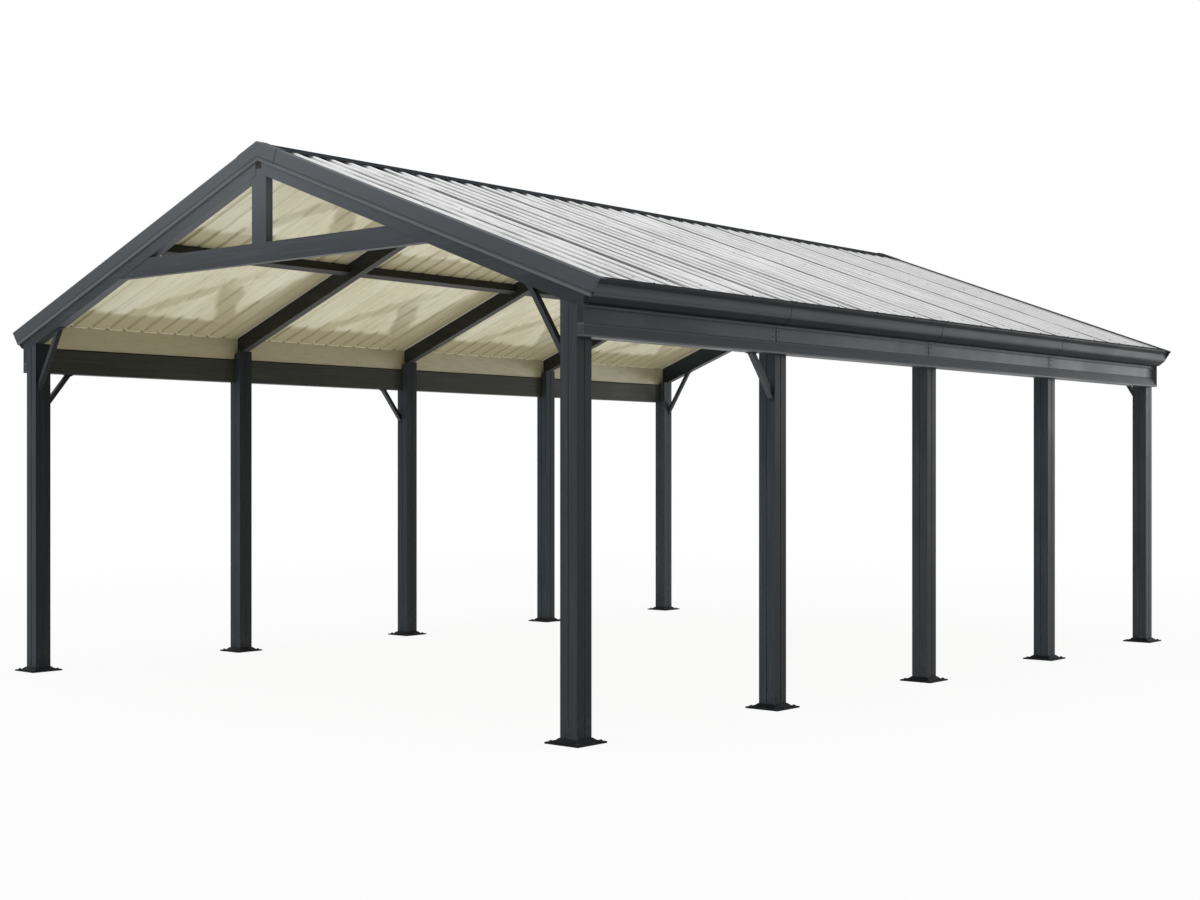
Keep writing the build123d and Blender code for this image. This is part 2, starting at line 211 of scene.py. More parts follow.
class Shader:
    """Nodes of a material or of the world under construction."""

    def __init__(self, owner: bpy.types.Material | bpy.types.World) -> None:
        """Start with no nodes."""
        owner.use_nodes = True
        self.owner = owner
        self.tree = owner.node_tree
        self.tree.nodes.clear()

    @classmethod
    def material(cls, name: str) -> "Shader":
        """Start a material of that name."""
        return cls(bpy.data.materials.new(name))

    def add(
        self,
        kind: str,
        settings: dict[str, object] | None = None,
        inputs: dict[str | int, object] | None = None,
        output: str | int = 0,
    ) -> Value:
        """Add one node.

        Args:
            kind: Type of the node.
            settings: Properties that are set first.
            inputs: Values or links by socket name or number.
            output: Output that the returned value carries.

        Returns:
            The chosen output as a value.
        """
        node = self.tree.nodes.new(kind)
        for name, setting in (settings or {}).items():
            setattr(node, name, setting)
        for name, given in (inputs or {}).items():
            socket = node.inputs[name]
            if isinstance(given, Value):
                self.tree.links.new(given.socket, socket)
            else:
                socket.default_value = given
        return Value(self, node.outputs[output])

    def parts(self, vector: Value) -> tuple[Value, Value, Value]:
        """The three parts of a vector."""
        x, y, z = (self.add("ShaderNodeSeparateXYZ", None, {"Vector": vector}, axis) for axis in "XYZ")
        return x, y, z

    def position(self) -> tuple[Value, Value, Value]:
        """Place of the shaded point."""
        return self.parts(self.add("ShaderNodeNewGeometry", output="Position"))

    def vector(self, x: Value | float, y: Value | float, z: Value | float) -> Value:
        """Vector from three values."""
        return self.add("ShaderNodeCombineXYZ", None, {"X": x, "Y": y, "Z": z})

    def noise(self, place: Value, scale: float, detail: float = 3.0, rough: float = 0.55) -> Value:
        """Noise around one half.

        Args:
            place: Coordinates.
            scale: Features per metre.
            detail: Octaves.
            rough: Weight of the finer octaves.

        Returns:
            The noise.
        """
        inputs = {"Vector": place, "Scale": scale, "Detail": detail, "Roughness": rough}
        return self.add("ShaderNodeTexNoise", None, inputs)

    def chance(self, seed: Value) -> Value:
        """Number between nought and one that a whole number picks."""
        return self.add("ShaderNodeTexWhiteNoise", {"noise_dimensions": "1D"}, {"W": seed})

    def blend(self, factor: Value | float, first: Value | Colour, second: Value | Colour) -> Value:
        """Mix of two colours.

        Args:
            factor: Share of the second colour.
            first: First colour.
            second: Second colour.

        Returns:
            The mixed colour.
        """
        sockets: dict[str | int, object] = {0: factor}
        for index, colour in ((6, first), (7, second)):
            sockets[index] = colour if isinstance(colour, Value) else (*colour, 1.0)
        return self.add("ShaderNodeMix", {"data_type": "RGBA"}, sockets, 2)

    def dot(self, first: Value, second: Value) -> Value:
        """Dot product of two vectors."""
        return self.add("ShaderNodeVectorMath", {"operation": "DOT_PRODUCT"}, {0: first, 1: second}, "Value")

    def bump(self, height: Value, depth: float, normal: Value | None = None) -> Value:
        """Normal from a height.

        Args:
            height: Height between nought and one.
            depth: Size of one unit of height in metres.
            normal: Normal to start from, such as that of rounded edges.

        Returns:
            The bumped normal.
        """
        inputs: dict[str | int, object] = {"Height": height, "Distance": depth}
        if normal is not None:
            inputs["Normal"] = normal
        return self.add("ShaderNodeBump", None, inputs)

    def background_seen(self) -> Value:
        """One for the rays that show the background: seen, mirrored or through glass."""
        seen = self.add("ShaderNodeLightPath", output="Is Camera Ray")
        mirrored = self.add("ShaderNodeLightPath", output="Is Glossy Ray")
        through = self.add("ShaderNodeLightPath", output="Is Transmission Ray")
        return seen.most(mirrored).most(through)

    def finish(self, **sockets: object) -> bpy.types.Material:
        """Close the material with a principled shader.

        Args:
            sockets: Its inputs, spaces in the names written as underscores.

        Returns:
            The finished material.
        """
        inputs = {name.replace("_", " "): given for name, given in sockets.items()}
        return self.output(self.add("ShaderNodeBsdfPrincipled", None, inputs))

    def output(self, surface: Value, kind: str = "ShaderNodeOutputMaterial") -> bpy.types.Material:
        """Link a surface to the output of the material or the world.

        Args:
            surface: The shader to show.
            kind: Type of the output node.

        Returns:
            The material or world.
        """
        node = self.tree.nodes.new(kind)
        self.tree.links.new(surface.socket, node.inputs["Surface"])
        return self.owner


# Finishes

@dataclass(frozen=True)
class Spot:
    """Place and facing of the shaded point."""

    x: Value
    y: Value
    z: Value
    right: Value
    up: Value

    @classmethod
    def of(cls, shader: Shader) -> "Spot":
        """Spot of a shader."""
        right, _, up = shader.parts(shader.add("ShaderNodeNewGeometry", output="Normal"))
        return cls(*shader.position(), right, up)

    def rise(self) -> Value:
        """Height square to the slope above the sheet seats."""
        return (self.z - RIDGE_Z + abs(self.x) * math.tan(SLOPE)) * math.cos(SLOPE)


@dataclass(frozen=True)
class PowderCoat:
    """Satin anthracite powder coat: faint lines along the bar, orange peel, worn edges with a painted edge highlight,
    dust at the feet, painted light on faces that look down and painted shade on faces that look up.
    """

    name: str
    grain: Grain
    specular: float = 0.20
    roughness: float = 0.46
    colour: Colour = (0.020, 0.027, 0.033)
    faded: Colour = (0.033, 0.040, 0.047)
    line: Colour = (0.060, 0.068, 0.075)
    painted_underside_light: Colour = (0.110, 0.114, 0.118)
    painted_top_shade: Colour = (0.012, 0.014, 0.016)
    worn_and_highlight: Colour = (0.120, 0.128, 0.134)
    dust: Colour = (0.115, 0.110, 0.100)
    peel_depth: float = 0.00012
    edge_radius: float = 0.0022

    def build(self) -> bpy.types.Material:
        """Make the material."""
        shader = Shader.material(self.name)
        spot = Spot.of(shader)
        here = shader.vector(spot.x, spot.y, spot.z)
        stretch = self.grain.value
        drawn = shader.vector(spot.x * stretch[0], spot.y * stretch[1], spot.z * stretch[2])
        cloud = shader.noise(here, 1.7, 4.0)
        lines = shader.noise(drawn, 6.0, 5.0, 0.62)
        peel = shader.noise(here, 260.0, 2.0)
        normal = shader.add("ShaderNodeNewGeometry", output="Normal")
        rounded = shader.add("ShaderNodeBevel", {"samples": 4}, {"Radius": self.edge_radius})
        # Painted light on faces that look down and painted shade on faces that look up.
        below = (0.0 - spot.up).ramp(0.45, 0.75)
        above = spot.up.ramp(0.80, 0.93)
        colour = shader.blend(cloud.ramp(0.35, 0.75), self.colour, self.faded)
        colour = shader.blend(lines.ramp(0.46, 0.76) * 0.6, colour, self.line)
        colour = shader.blend(below * 0.6, colour, self.painted_underside_light)
        colour = shader.blend(above * 0.6, colour, self.painted_top_shade)
        colour = self.marked(shader, colour, spot)
        # Worn edges, lightened further as a painted highlight along every edge.
        wear_and_highlight = shader.dot(normal, rounded).ramp(0.90, 0.992, 1.0, 0.0) * lines.ramp(0.35, 0.65)
        colour = shader.blend(wear_and_highlight * 0.5, colour, self.worn_and_highlight)
        settled = spot.z.ramp(0.0, 0.28, 1.0, 0.0) * shader.noise(here, 22.0, 4.0).ramp(0.42, 0.7) * 0.18
        colour = shader.blend(settled, colour, self.dust)
        rough = cloud.ramp(0.3, 0.7, self.roughness - 0.05, self.roughness + 0.05) + lines * 0.06
        rough = rough + settled * 0.4 + above * 0.45
        bumped = shader.bump(peel, self.peel_depth, rounded)
        return shader.finish(Base_Color=colour, Roughness=rough, Specular_IOR_Level=self.specular, Normal=bumped)

    def marked(self, shader: Shader, colour: Value, spot: Spot) -> Value:
        """Colour with the marks and the painted light and shade of the piece, none on a plain bar.

        Args:
            shader: The material under construction.
            colour: Plain colour of the coat.
            spot: Place and facing of the shaded point.

        Returns:
            The marked colour.
        """
        return colour


@dataclass(frozen=True)
class PostCoat(PowderCoat):
    """Coat of the posts, with painted shade on the right-hand faces of the front rows."""

    deep: Colour = (0.009, 0.010, 0.011)

    def marked(self, shader: Shader, colour: Value, spot: Spot) -> Value:
        """Colour with painted shade on the right-hand faces."""
        # Painted shade on the right-hand faces, strongest at the front rows.
        share = spot.right.ramp(0.5, 0.9) * spot.y.ramp(0.5, ROWS[-1], 0.92, 0.15)
        return shader.blend(share, colour, self.deep)


@dataclass(frozen=True)
class GableCoat(PowderCoat):
    """Coat of the gable bars, with painted light towards the apex and painted shade at the corners."""

    deep: Colour = (0.006, 0.007, 0.008)
    pale: Colour = (0.120, 0.133, 0.146)

    def marked(self, shader: Shader, colour: Value, spot: Spot) -> Value:
        """Colour with painted light at the top and painted shade at the corners."""
        # Painted light towards the apex and painted shade in the corners under the rake.
        colour = shader.blend(spot.z.ramp(2.62, RIDGE_Z - 0.05) * 0.75, colour, self.pale)
        return shader.blend(spot.z.ramp(2.46, 2.60, 0.6, 0.0), colour, self.deep)


@dataclass(frozen=True)
class RakeCoat(PowderCoat):
    """Coat of the rake trims and the apex covers: painted light towards the apex, painted highlights along both edges
    and a painted shade line over the hem.
    """

    deep: Colour = (0.010, 0.011, 0.013)
    pale: Colour = (0.125, 0.136, 0.148)
    bright: Colour = (0.190, 0.200, 0.210)
    head: float = 0.0265
    foot: float = -0.0855
    hem: float = 0.020

    def marked(self, shader: Shader, colour: Value, spot: Spot) -> Value:
        """Colour with painted light at the apex, painted highlights on the edges and the painted shade line."""
        rise = spot.rise()
        # Painted light towards the apex, painted highlights along both edges and a painted shade line over the hem.
        colour = shader.blend(spot.z.ramp(2.55, RIDGE_Z) * 0.55, colour, self.pale)
        edges = rise.near(self.foot + self.hem * 0.45, self.hem * 0.65) + rise.near(self.head, 0.004)
        colour = shader.blend(edges * 0.42, colour, self.bright)
        return shader.blend(rise.near(self.foot + self.hem * 1.35, self.hem * 0.28) * 0.7, colour, self.deep)


@dataclass(frozen=True)
class TrimCoat(PowderCoat):
    """Coat of the eave trims: painted shade in the cove and the tuck, painted light on the belly and a painted sheen
    towards the back.
    """

    deep: Colour = (0.006, 0.007, 0.008)
    bright: Colour = (0.066, 0.072, 0.078)
    pale: Colour = (0.140, 0.146, 0.152)
    cove_foot: float = 2.449
    belly_foot: float = 2.401

    def marked(self, shader: Shader, colour: Value, spot: Spot) -> Value:
        """Colour with painted shade in the cove and tuck, painted light on the belly and a painted sheen towards the
        back.
        """
        # Painted light on the belly, painted sheen towards the back and painted shade in the cove and the tuck.
        belly = spot.z.near((self.cove_foot + self.belly_foot) / 2, 0.034)
        cove = spot.z.ramp(self.cove_foot - 0.004, self.cove_foot + 0.010)
        tuck = spot.z.ramp(self.belly_foot - 0.016, self.belly_foot, 1.0, 0.0)
        colour = shader.blend(belly * spot.y.ramp(0.0, ROWS[-1], 0.65, 0.95), colour, self.bright)
        colour = shader.blend(spot.y.ramp(0.5, ROWS[-1]) * 0.35, colour, self.pale)
        return shader.blend((cove + tuck) * 0.92, colour, self.deep)


@dataclass(frozen=True)
class BeamCoat(PowderCoat):
    """Coat of the eave beams: a painted shade line where the flare starts, painted highlights on the lip and the toe,
    painted light on the flare, painted shade towards the front and a painted sheen towards the back.
    """

    deep: Colour = (0.010, 0.012, 0.014)
    bright: Colour = (0.085, 0.090, 0.095)
    pale: Colour = (0.150, 0.154, 0.158)
    flare_top: float = 2.258

    def marked(self, shader: Shader, colour: Value, spot: Spot) -> Value:
        """Colour with the painted shade line of the flare, the painted highlights, the painted shade and sheen along
        the beam and the dark seams of the webs.
        """
        y, z = spot.y, spot.z
        # Painted shade towards the front and a painted sheen towards the back.
        colour = shader.blend(y.ramp(ROWS[0], 0.3, 0.9, 0.0), colour, self.deep)
        colour = shader.blend(y.ramp(1.2, ROWS[-1]) * 0.55, colour, self.pale)
        # Painted highlights on the lip, the toe and the top of the flare.
        edges = z.near(BEAM_TOP - 0.010, 0.008) + z.near(BEAM_BOTTOM + 0.006, 0.010)
        edges = edges + z.near(self.flare_top - 0.010, 0.008)
        colour = shader.blend(edges * 0.55, colour, self.bright)
        # Painted light on the flare.
        flare = z.ramp(BEAM_BOTTOM, self.flare_top, 0.6, 1.0) * (z < self.flare_top)
        colour = shader.blend(flare * 0.40, colour, self.bright)
        # Painted shade line in the crease at the top of the flare; the joints of the webs are dark joints.
        joint = abs((y - ROWS[0] + POST_HALF + BAY / 2) % BAY - BAY / 2).ramp(0.004, 0.009, 1.0, 0.0)
        line = z.near(self.flare_top, 0.005).most(joint * (z > self.flare_top))
        return shader.blend(line * 0.8, colour, self.deep)


@dataclass(frozen=True)
class RoofSheet:
    """Coated ribbed sheet: pale grey on top with painted light on the rib flanks and grime and painted shade at the rib
    feet, cream lacquer below with painted shadows and painted light.
    """

    top: Colour = (0.80, 0.80, 0.80)
    crown: Colour = (0.88, 0.88, 0.875)
    grime_and_shade: Colour = (0.15, 0.155, 0.16)
    smudge_and_shade: Colour = (0.42, 0.425, 0.43)
    under: Colour = (0.74, 0.69, 0.49)
    under_light: Colour = (0.84, 0.80, 0.62)
    under_dark: Colour = (0.42, 0.375, 0.225)
    channel: Colour = (0.88, 0.845, 0.68)

    def build(self) -> bpy.types.Material:
        """Make the material."""
        shader = Shader.material("coated_roof_sheet")
        spot = Spot.of(shader)
        down = abs(spot.x)
        colour = shader.blend(spot.up > 0.0, self.underside(shader, spot), self.topside(shader, spot))
        fine = shader.noise(shader.vector(down * 0.35, spot.y, 0.0), 26.0, 4.0, 0.6)
        rough = (spot.up > 0.0) * 0.14 + fine.ramp(0.3, 0.7, 0.30, 0.42)
        dents = shader.noise(shader.vector(down * 0.5, spot.y, spot.z), 9.0, 2.0)
        normal = shader.bump(dents, 0.0010)
        return shader.finish(Base_Color=colour, Roughness=rough, Specular_IOR_Level=0.35, Normal=normal)

    def topside(self, shader: Shader, spot: Spot) -> Value:
        """Colour of the weathered side, with painted light on the rib flanks, grime and painted shade at the rib feet,
        painted shade at the crown edges, and a little greyer towards the back as painted shade.

        Args:
            shader: The material under construction.
            spot: Place and facing of the shaded point.

        Returns:
            The colour.
        """
        down, y, z = abs(spot.x), spot.y, spot.z
        count = (y - RIB_START) / RIB_PITCH + 0.5
        rib = count.floor()
        offset = (count - rib - 0.5) * RIB_PITCH
        lap = (rib % float(LAP_EVERY)) < 0.5
        luck = shader.chance(rib)
        drift = shader.noise(shader.vector(down * 0.7, rib * 3.7, luck), 2.2, 3.0, 0.5)
        reach = offset + (drift - 0.5) * 0.008
        # Grime and painted shade at the feet of the ribs.
        front = reach.ramp(-0.0185, -0.0145, 1.0, 0.0) * (offset > -0.036)
        rear = reach.ramp(0.0125, 0.0165, 0.0, 0.8) * (offset < 0.024)
        feet = (front + rear) * (drift.ramp(0.20, 0.60) * (luck * 0.34 + 0.50))
        away = abs(offset)
        flank = (away > 0.010) * (away < 0.021)
        # Painted shade along the edges of the crowns.
        brow = away.near(0.0105, 0.0035) * drift.ramp(0.35, 0.60) * (0.60 - luck * 0.40)
        seam = lap * offset.near(-0.024, 0.010) * 0.50
        fine = shader.noise(shader.vector(down * 0.16, y, 0.0), 34.0, 4.0, 0.65)
        wash = shader.noise(shader.vector(down * 0.5, y, z), 2.6, 4.0, 0.6)
        # Painted light on the rib flanks.
        colour = shader.blend(flank, self.top, self.crown)
        colour = shader.blend(luck.ramp(0.55, 0.85) * flank * drift.ramp(0.4, 0.6) * 0.35, colour, self.smudge_and_shade)
        colour = shader.blend(fine.ramp(0.48, 0.80) * 0.45, colour, self.smudge_and_shade)
        colour = shader.blend(wash.ramp(0.52, 0.80) * 0.3, colour, self.smudge_and_shade)
        # Painted shade that greys the sheet towards the back.
        colour = shader.blend(y.ramp(-2.0, ROWS[-1]) * 0.26, colour, self.smudge_and_shade)
        return shader.blend((feet + brow + seam).ramp(0.0, 1.0), colour, self.grime_and_shade)

    def underside(self, shader: Shader, spot: Spot) -> Value:
        """Colour of the lacquered side, with painted shadows along the lower and back edge of each panel and across it,
        painted light in the rib channels and a painted light strip beside each rafter.

        Args:
            shader: The material under construction.
            spot: Place and facing of the shaded point.

        Returns:
            The colour.
        """
        down, y = abs(spot.x), spot.y
        across = (down / (POST_X / 2)) % 1.0
        along = ((y - ROWS[0]) / BAY) % 1.0
        # Painted shadows of the frame: bands along the lower and back edge of each panel and diagonal strokes across
        # it.
        edge = shader.noise(shader.vector(down, y, 0.0), 3.0, 3.0) * 0.10 - 0.05
        low = (across + edge).ramp(0.77, 0.83)
        rear = (along + edge + across * 0.10).ramp(0.84, 0.90)
        stroke = abs(along - 0.62 - (across - 0.4) * 0.45 + edge).ramp(0.04, 0.075, 0.85, 0.0)
        branch = abs(along - 0.50 + (across - 0.5) * 0.55 + edge).ramp(0.025, 0.06, 0.55, 0.0)
        shade = low.most(rear).most(stroke * across.ramp(0.25, 0.45)).most(branch * across.ramp(0.10, 0.35))
        fine = shader.noise(shader.vector(down * 0.12, y, 0.0), 20.0, 4.0, 0.6)
        broad = shader.noise(shader.vector(down * 0.25, y, 0.0), 4.0, 2.0)
        colour = shader.blend(broad.ramp(0.4, 0.65), self.under, self.under_light)
        colour = shader.blend(fine.ramp(0.48, 0.80) * 0.4, colour, self.under_dark)
        # Painted light inside the rib channels.
        colour = shader.blend(spot.rise().ramp(0.0005, 0.004), colour, self.channel)
        colour = shader.blend(shade * 0.85, colour, self.under_dark)
        # Painted light strip on the sheet beside each rafter.
        rim = ((y - ROWS[0] + 0.045) % BAY) < 0.018
        return shader.blend(rim, colour, (0.9, 0.88, 0.80))


@dataclass(frozen=True)
class EaveLining:
    """Cream lacquer on the boards between the wall plates and the sheets, darkened to olive as painted shade."""

    # Painted shade: the cream lacquer is darkened to olive.
    colour: Colour = (0.35, 0.315, 0.20)
    dark: Colour = (0.25, 0.22, 0.135)

    def build(self) -> bpy.types.Material:
        """Make the material."""
        shader = Shader.material("eave_lining_lacquer")
        x, y, z = shader.position()
        lines = shader.noise(shader.vector(x, y * 0.3, z * 2.0), 24.0, 4.0, 0.6)
        cloud = shader.noise(shader.vector(x, y, z), 2.4, 3.0)
        colour = shader.blend(lines.ramp(0.45, 0.75) * 0.45 + cloud.ramp(0.5, 0.75) * 0.20, self.colour, self.dark)
        normal = shader.bump(lines, 0.0004)
        return shader.finish(Base_Color=colour, Roughness=lines.ramp(0.3, 0.7, 0.38, 0.5), Normal=normal)


@dataclass(frozen=True)
class PaintedScrew:
    """Paint on screw heads and their washers, or rubber when it has hardly any gloss."""

    name: str
    colour: Colour
    worn_and_highlight: Colour
    specular: float = 0.5

    def build(self) -> bpy.types.Material:
        """Make the material."""
        shader = Shader.material(self.name)
        here = shader.vector(*shader.position())
        # On the screw heads this is plain wear.
        wear_and_highlight = shader.noise(here, 140.0, 4.0)
        colour = shader.blend(wear_and_highlight.ramp(0.5, 0.75) * 0.7, self.colour, self.worn_and_highlight)
        rough = wear_and_highlight.ramp(0.3, 0.7, 0.40, 0.55)
        normal = shader.bump(shader.noise(here, 700.0, 2.0), 0.00006)
        return shader.finish(Base_Color=colour, Roughness=rough, Specular_IOR_Level=self.specular, Normal=normal)


@dataclass(frozen=True)
class PaleFloor:
    """Pale studio floor that stays near white and keeps a faint shadow."""

    colour: Colour = (0.86, 0.86, 0.86)
    lighter: Colour = (0.89, 0.89, 0.89)
    lift: float = 0.90
    near: float = 5.0
    far: float = 16.0

    def build(self) -> bpy.types.Material:
        """Make the material."""
        shader = Shader.material("pale_floor")
        x, y, _ = shader.position()
        cloud = shader.noise(shader.vector(x, y, 0.0), 0.6, 3.0)
        diffuse = shader.add("ShaderNodeBsdfDiffuse", None, {"Color": shader.blend(cloud, self.colour, self.lighter)})
        white = shader.add("ShaderNodeEmission", None, {"Color": (1.0, 1.0, 1.0, 1.0), "Strength": 1.0})
        away = abs(x).most(abs(y)).ramp(self.near, self.far, self.lift, 1.0)
        inputs = {0: shader.background_seen() * away, 1: diffuse, 2: white}
        return shader.output(shader.add("ShaderNodeMixShader", None, inputs))


# Small pieces

class Shape:
    """Points and faces of a small piece, which can be joined many times over."""

    def __init__(self) -> None:
        """Start with nothing."""
        self.points: list[Vector] = []
        self.faces: list[tuple[int, ...]] = []

    @classmethod
    def turned(cls, profile: list[Pair], sides: int) -> "Shape":
        """Turn a profile round the Z axis.

        Args:
            profile: (radius, height) pairs from the bottom up.
            sides: Number of sides, six for a hexagon head.

        Returns:
            The closed shape.
        """
        shape = cls()
        for radius, height in profile:
            for side in range(sides):
                angle = 2 * math.pi * side / sides
                shape.points.append(Vector((radius * math.cos(angle), radius * math.sin(angle), height)))
        for ring in range(len(profile) - 1):
            for side in range(sides):
                a, b = ring * sides + side, ring * sides + (side + 1) % sides
                shape.faces.append((a, b, b + sides, a + sides))
        shape.faces.append(tuple(range(sides))[::-1])
        last = (len(profile) - 1) * sides
        shape.faces.append(tuple(range(last, last + sides)))
        return shape

    @classmethod
    def swept(cls, outline: list[Pair], start: float, end: float) -> "Shape":
        """Run a closed (x, z) outline along the ridge.

        Args:
            outline: Corners of the outline.
            start: First end.
            end: Last end.

        Returns:
            The closed shape.
        """
        shape = cls()
        count = len(outline)
        for y in (start, end):
            shape.points += [Vector((x, y, z)) for x, z in outline]
        for corner in range(count):
            after = (corner + 1) % count
            shape.faces.append((corner, after, after + count, corner + count))
        shape.faces.append(tuple(range(count))[::-1])
        shape.faces.append(tuple(range(count, 2 * count)))
        return shape

    def join(self, other: "Shape", place: Matrix) -> None:
        """Add a copy of another shape.

        Args:
            other: The shape to copy.
            place: Where the copy goes.
        """
        base = len(self.points)
        self.points += [place @ point for point in other.points]
        self.faces += [tuple(base + index for index in face) for face in other.faces]

    def piece(self, name: str, finish: bpy.types.Material, slot: Slot) -> bpy.types.Object:
        """Make the object, which rides on the carport.

        Args:
            name: Name of the piece.
            finish: Its material.
            slot: Material slot of the record that it belongs to; not used.

        Returns:
            The new object.
        """
        mesh = bpy.data.meshes.new(name)
        mesh.from_pydata([tuple(point) for point in self.points], [], self.faces)
        worked = bmesh.new()
        worked.from_mesh(mesh)
        bmesh.ops.recalc_face_normals(worked, faces=worked.faces)
        worked.to_mesh(mesh)
        worked.free()
        for face in mesh.polygons:
            face.use_smooth = True
        mesh.set_sharp_from_angle(angle=math.radians(32.0))
        mesh.materials.append(finish)
        made = bpy.data.objects.new(name, mesh)
        bpy.context.scene.collection.objects.link(made)
        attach(made, "root")
        log.info("made %s with %d faces", name, len(mesh.polygons))
        return made


def seat(place: Vector, normal: Vector, turn: float = 0.0) -> Matrix:
    """Placement of a fastener that stands on a surface.

    Args:
        place: Point on the surface.
        normal: Direction that the fastener points to.
        turn: Turn about its own axis in radians.

    Returns:
        The placement.
    """
    aim = normal.to_track_quat("Z", "Y").to_matrix().to_4x4()
    return Matrix.Translation(place) @ aim @ Matrix.Rotation(turn, 4, "Z")


@dataclass
class AnchorBolts:
    """Low hexagon bolts with washers in the forty holes of the base plates."""

    reach: float = 0.095
    plate_top: float = 0.010
    washer_radius: float = 0.0125
    washer_thickness: float = 0.0022
    flange_radius: float = 0.0108
    head_radius: float = 0.0092
    head_height: float = 0.0064

    def bolt(self) -> Shape:
        """Flanged hexagon head on a flat washer."""
        shape = Shape()
        w, t, r, h = self.washer_radius, self.washer_thickness, self.head_radius, self.head_height
        washer = [(w * 0.97, 0.0), (w, t * 0.2), (w, t * 0.8), (w * 0.96, t)]
        flange = [(self.flange_radius, t), (self.flange_radius, t + 0.0008), (r * 0.9, t + 0.0018)]
        head = [(r, t + 0.0010), (r, t + h * 0.88), (r * 0.84, t + h), (r * 0.5, t + h * 1.01), (r * 0.45, t + h * 0.9)]
        for profile, sides in ((washer, 28), (flange, 24), (head, 6)):
            shape.join(Shape.turned(profile, sides), Matrix.Identity(4))
        return shape

    def build(self, finish: bpy.types.Material) -> None:
        """Make the joined mesh.

        Args:
            finish: Coating of the bolts.
        """
        shape, bolt = Shape(), self.bolt()
        up = Vector((0.0, 0.0, 1.0))
        for side in Side:
            for number, row in enumerate(ROWS):
                for turn, (dx, dy) in enumerate(((-1, -1), (-1, 1), (1, -1), (1, 1))):
                    foot = Vector((side.value * POST_X + dx * self.reach, row + dy * self.reach, self.plate_top))
                    shape.join(bolt, seat(foot, up, 0.6 * (number * 4 + turn)))
        shape.piece("anchor_bolts", finish, Slot.FRAME)


@dataclass
class SheetScrews:
    """Hexagon roofing screws on the rib crowns over the purlins and the eave boards."""

    head_radius: float = 0.0062
    head_height: float = 0.0055
    collar_radius: float = 0.0078
    washer_radius: float = 0.010

    def screw(self) -> Shape:
        """Head with its pressed collar on a domed sealing washer."""
        shape = Shape()
        dome = [(self.washer_radius, 0.0), (self.washer_radius, 0.0012), (self.washer_radius * 0.6, 0.0024)]
        collar = [(self.collar_radius, 0.002), (self.collar_radius * 0.94, 0.0036)]
        head = [
            (self.head_radius, 0.0032),
            (self.head_radius, 0.0026 + self.head_height),
            (self.head_radius * 0.84, 0.0034 + self.head_height),
        ]
        for profile, sides in ((dome, 14), (collar, 14), (head, 6)):
            shape.join(Shape.turned(profile, sides), Matrix.Identity(4))
        return shape

    def build(self, finish: bpy.types.Material) -> None:
        """Make the joined mesh.

        Args:
            finish: Paint of the screws.
        """
        shape, screw = Shape(), self.screw()
        for side in Side:
            for run in (POST_X / 2 / math.cos(SLOPE), 2.655 / math.cos(SLOPE)):
                for rib in range(1, RIB_COUNT - 1, 2):
                    place = on_slope(side, run, RIB_START + rib * RIB_PITCH, RIB_TOP)
                    shape.join(screw, seat(place, slope_normal(side), 0.5 * rib))
        shape.piece("sheet_screws", finish, Slot.SHEET)


@dataclass
class CapScrews:
    """Screws through the ridge cap and the eave trims, larger over the laps of the sheets."""

    cap_run: float = 0.122
    flange_run: float = EDGE_RUN - 0.016
    dome_radius: float = 0.0125
    dome_height: float = 0.0085

    def dome(self) -> Shape:
        """Domed cap nut over a lap."""
        r, h = self.dome_radius, self.dome_height
        return Shape.turned([(r, 0.0), (r, h * 0.3), (r * 0.85, h * 0.72), (r * 0.5, h * 0.95), (r * 0.2, h)], 16)

    def build(self, finish: bpy.types.Material) -> None:
        """Make the joined mesh.

        Args:
            finish: Paint of the screws.
        """
        shape, screw, dome = Shape(), SheetScrews().screw(), self.dome()
        for side in Side:
            for rib in range(1, RIB_COUNT - 1):
                y = RIB_START + rib * RIB_PITCH
                lapped = rib % LAP_EVERY == 0
                if rib % 3 == 0:
                    place = on_slope(side, self.cap_run, y, CAP_TOP)
                    shape.join(screw, seat(place, slope_normal(side), 0.4 * rib))
                    place = on_slope(side, self.flange_run, y, CAP_TOP)
                    shape.join(dome if lapped else screw, seat(place, slope_normal(side), 0.4 * rib))
        shape.piece("trim_screws", finish, Slot.FRAME)


@dataclass
class TrimSleeves:
    """Thin sleeves over the joints of the eave trims."""

    width: float = 0.056
    stand: float = 0.0016
    lap: float = 0.040

    def outline(self) -> list[Pair]:
        """Closed (x, z) outline round the outer face of a right-hand trim."""
        flange = on_slope(Side.RIGHT, EDGE_RUN - self.lap, 0.0, CAP_TOP)
        nose = on_slope(Side.RIGHT, EDGE_RUN + 0.003, 0.0, CAP_TOP)
        face = [(flange.x, flange.z), (nose.x, nose.z)]
        x, z = nose.x, nose.z
        for depth, height in ((0.0, 0.010), (0.026, 0.024), (0.004, 0.048), (0.050, z - 0.082 - BEAM_TOP - 0.004)):
            x, z = x - depth, z - height
            face.append((x, z))
        outer = [
            (face[0][0], face[0][1] + self.stand),
            (face[1][0] + self.stand, face[1][1] + self.stand),
            (face[2][0] + self.stand, face[2][1] - self.stand * 0.3),
            (face[3][0] + self.stand, face[3][1] - self.stand * 0.3),
            (face[4][0] + self.stand, face[4][1] - self.stand * 0.3),
            (face[5][0] + self.stand * 0.4, face[5][1] - self.stand),
        ]
        return outer + face[::-1]

    def build(self, finish: bpy.types.Material) -> None:
        """Make the joined mesh.

        Args:
            finish: Coating of the sleeves.
        """
        shape = Shape()
        for side in Side:
            for row in ROWS[1:-1]:
                seam = row - POST_HALF
                outline = [(side.value * x, z) for x, z in self.outline()]
                shape.join(Shape.swept(outline, seam, seam + self.width), Matrix.Identity(4))
        shape.piece("trim_sleeves", finish, Slot.FRAME)


